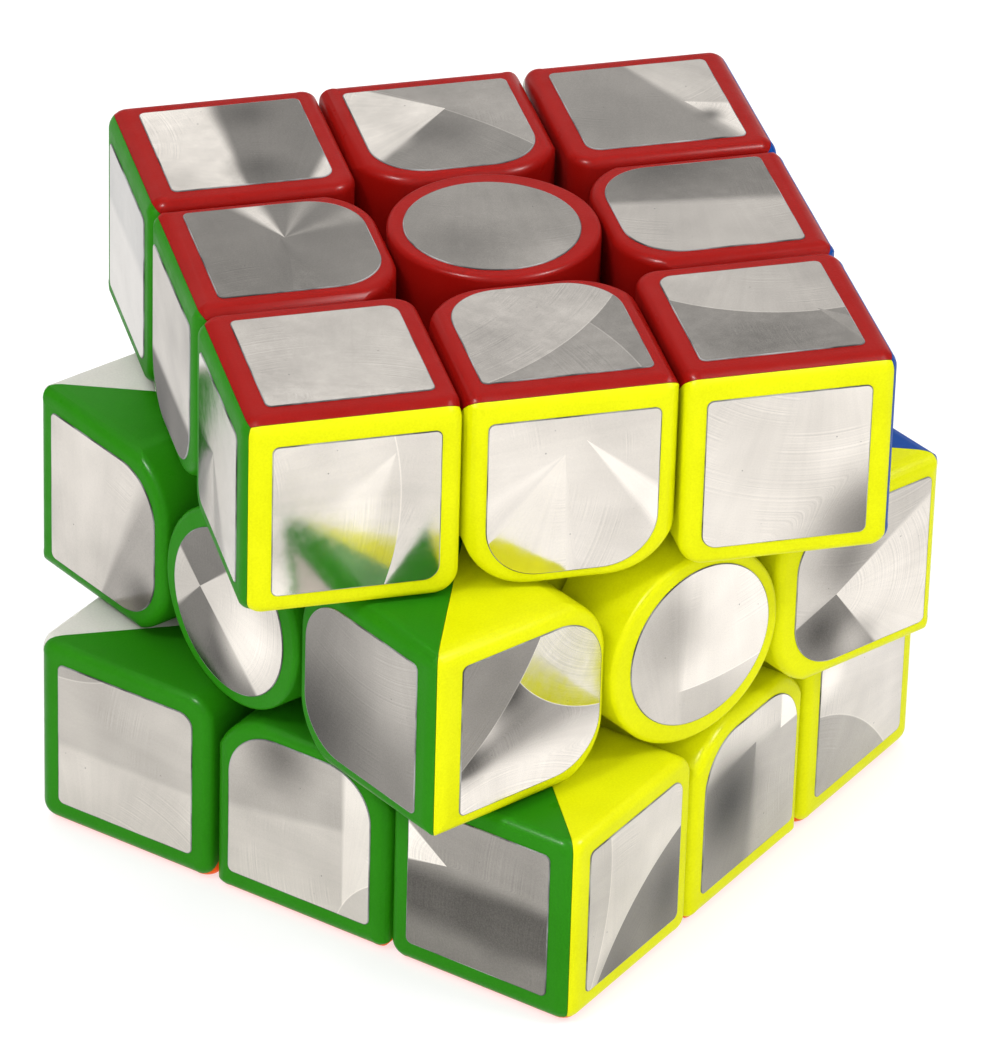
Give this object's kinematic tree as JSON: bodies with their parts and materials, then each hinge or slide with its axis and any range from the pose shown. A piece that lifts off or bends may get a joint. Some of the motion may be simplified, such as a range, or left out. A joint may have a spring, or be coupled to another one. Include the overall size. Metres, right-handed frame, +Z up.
{
  "type": "twisty puzzle cube",
  "caption": "Three-layer twisty puzzle cube in six plastic colours with mirror film on every facelet, its end layers part turned on the middle one.",
  "frame": {"origin": "under the cube's centre, on the plane its bottom face rests on", "axes": "+Z up along the axis of the top and bottom layers' turns, -Y towards the yellow front centre, -X towards the green left centre"},
  "size_m": [0.0746, 0.0746, 0.057],
  "materials": {
    "red_plastic": "satin red moulded plastic with a fine grain",
    "orange_plastic": "satin orange moulded plastic with a fine grain",
    "yellow_plastic": "satin yellow moulded plastic with a fine grain",
    "white_plastic": "satin white moulded plastic with a fine grain",
    "green_plastic": "satin green moulded plastic with a fine grain",
    "blue_plastic": "satin blue moulded plastic with a fine grain",
    "core_plastic": "dark moulded plastic",
    "steel": "plated steel",
    "mirror_film": "thin silver mirror film, lightly brushed and scratched"
  },
  "bodies": {
    "middle_layer": {"core": "core_plastic", "centre_screw_red": "steel", "centre_screw_orange": "steel", "centre_screw_yellow": "steel", "centre_screw_white": "steel", "centre_screw_green": "steel", "centre_screw_blue": "steel", "edge_yellow_green_half_yellow": "yellow_plastic", "edge_yellow_green_half_green": "green_plastic", "edge_yellow_blue_half_yellow": "yellow_plastic", "edge_yellow_blue_half_blue": "blue_plastic", "edge_white_green_half_white": "white_plastic", "edge_white_green_half_green": "green_plastic", "edge_white_blue_half_white": "white_plastic", "edge_white_blue_half_blue": "blue_plastic"},
    "top_layer": {"centre_base_red": "red_plastic", "centre_cap_red": "red_plastic", "centre_spring_red": "steel", "edge_red_yellow_half_red": "red_plastic", "edge_red_yellow_half_yellow": "yellow_plastic", "edge_red_white_half_red": "red_plastic", "edge_red_white_half_white": "white_plastic", "edge_red_green_half_red": "red_plastic", "edge_red_green_half_green": "green_plastic", "edge_red_blue_half_red": "red_plastic", "edge_red_blue_half_blue": "blue_plastic", "corner_red_yellow_green": "red_plastic", "corner_red_yellow_blue": "red_plastic", "corner_red_white_green": "red_plastic", "corner_red_white_blue": "red_plastic"},
    "bottom_layer": {"centre_base_orange": "orange_plastic", "centre_cap_orange": "orange_plastic", "centre_spring_orange": "steel", "edge_orange_yellow_half_orange": "orange_plastic", "edge_orange_yellow_half_yellow": "yellow_plastic", "edge_orange_white_half_orange": "orange_plastic", "edge_orange_white_half_white": "white_plastic", "edge_orange_green_half_orange": "orange_plastic", "edge_orange_green_half_green": "green_plastic", "edge_orange_blue_half_orange": "orange_plastic", "edge_orange_blue_half_blue": "blue_plastic", "corner_orange_yellow_green": "orange_plastic", "corner_orange_yellow_blue": "orange_plastic", "corner_orange_white_green": "orange_plastic", "corner_orange_white_blue": "orange_plastic"},
    "front_centre": {"centre_base_yellow": "yellow_plastic", "centre_cap_yellow": "yellow_plastic", "centre_spring_yellow": "steel"},
    "back_centre": {"centre_base_white": "white_plastic", "centre_cap_white": "white_plastic", "centre_spring_white": "steel"},
    "left_centre": {"centre_base_green": "green_plastic", "centre_cap_green": "green_plastic", "centre_spring_green": "steel"},
    "right_centre": {"centre_base_blue": "blue_plastic", "centre_cap_blue": "blue_plastic", "centre_spring_blue": "steel"}
  },
  "joints": [
    {"name": "top_layer_turn", "type": "hinge", "parent": "middle_layer", "child": "top_layer", "pos_m": [0, 0, 0.0285], "axis": [0, 0, 1], "continuous": true},
    {"name": "bottom_layer_turn", "type": "hinge", "parent": "middle_layer", "child": "bottom_layer", "pos_m": [0, 0, 0.0285], "axis": [0, 0, 1], "continuous": true},
    {"name": "front_centre_turn", "type": "hinge", "parent": "middle_layer", "child": "front_centre", "pos_m": [0, 0, 0.0285], "axis": [0, -1, 0], "continuous": true},
    {"name": "back_centre_turn", "type": "hinge", "parent": "middle_layer", "child": "back_centre", "pos_m": [0, 0, 0.0285], "axis": [0, 1, 0], "continuous": true},
    {"name": "left_centre_turn", "type": "hinge", "parent": "middle_layer", "child": "left_centre", "pos_m": [0, 0, 0.0285], "axis": [-1, 0, 0], "continuous": true},
    {"name": "right_centre_turn", "type": "hinge", "parent": "middle_layer", "child": "right_centre", "pos_m": [0, 0, 0.0285], "axis": [1, 0, 0], "continuous": true}
  ]
}
